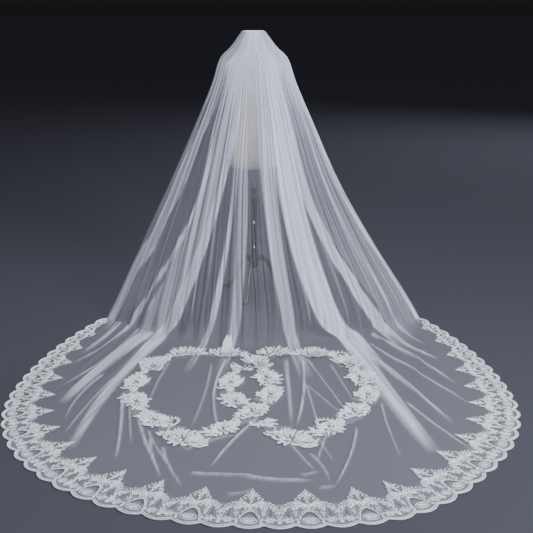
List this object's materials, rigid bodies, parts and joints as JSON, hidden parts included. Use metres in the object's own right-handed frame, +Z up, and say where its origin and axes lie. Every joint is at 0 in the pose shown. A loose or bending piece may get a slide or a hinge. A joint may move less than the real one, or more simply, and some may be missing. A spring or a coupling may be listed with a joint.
{
  "type": "bridal veil on a dress form",
  "caption": "Sheer gathered bridal veil with a long rounded train, a scalloped lace border and interlocking lace hearts, draped on a limbless dress form with a tripod stand.",
  "frame": {"origin": "middle of the footprint, on the floor", "axes": "+Z up; the train runs towards -Y from the form, which stands near the +Y end; +X is to the right as the veil is seen from the train"},
  "size_m": [2.274, 2.928, 1.5699],
  "materials": {
    "white_tulle": "sheer soft white netting with a cool cast",
    "corded_lace": "matt white corded lace, darker where its ground shows",
    "ivory_jersey": "matt ivory stretch jersey over a firm form",
    "dark_wood": "dark reddish brown stain, satin",
    "brushed_steel": "brushed steel post",
    "chrome": "polished chrome thumbscrews",
    "clear_comb": "clear plastic comb, hidden under the gathers"
  },
  "bodies": {
    "root": {"comb": "clear_comb", "form_neck_cap": "dark_wood", "form_torso": "ivory_jersey", "gather_band": "white_tulle", "heart_left": "corded_lace", "heart_right_inner": "corded_lace", "heart_right_outer": "corded_lace", "lace_border_back": "corded_lace", "lace_border_left": "corded_lace", "lace_border_right": "corded_lace", "lower_screw": "chrome", "stand_column": "dark_wood", "stand_hub": "dark_wood", "stand_leg_front": "dark_wood", "stand_leg_left": "dark_wood", "stand_leg_right": "dark_wood", "stand_post": "brushed_steel", "upper_screw": "chrome", "veil_crown": "white_tulle", "veil_fall_back": "white_tulle", "veil_fall_left": "white_tulle", "veil_fall_left_back": "white_tulle", "veil_fall_right": "white_tulle", "veil_fall_right_back": "white_tulle", "veil_train_back": "white_tulle", "veil_train_left": "white_tulle", "veil_train_right": "white_tulle"}
  },
  "joints": []
}
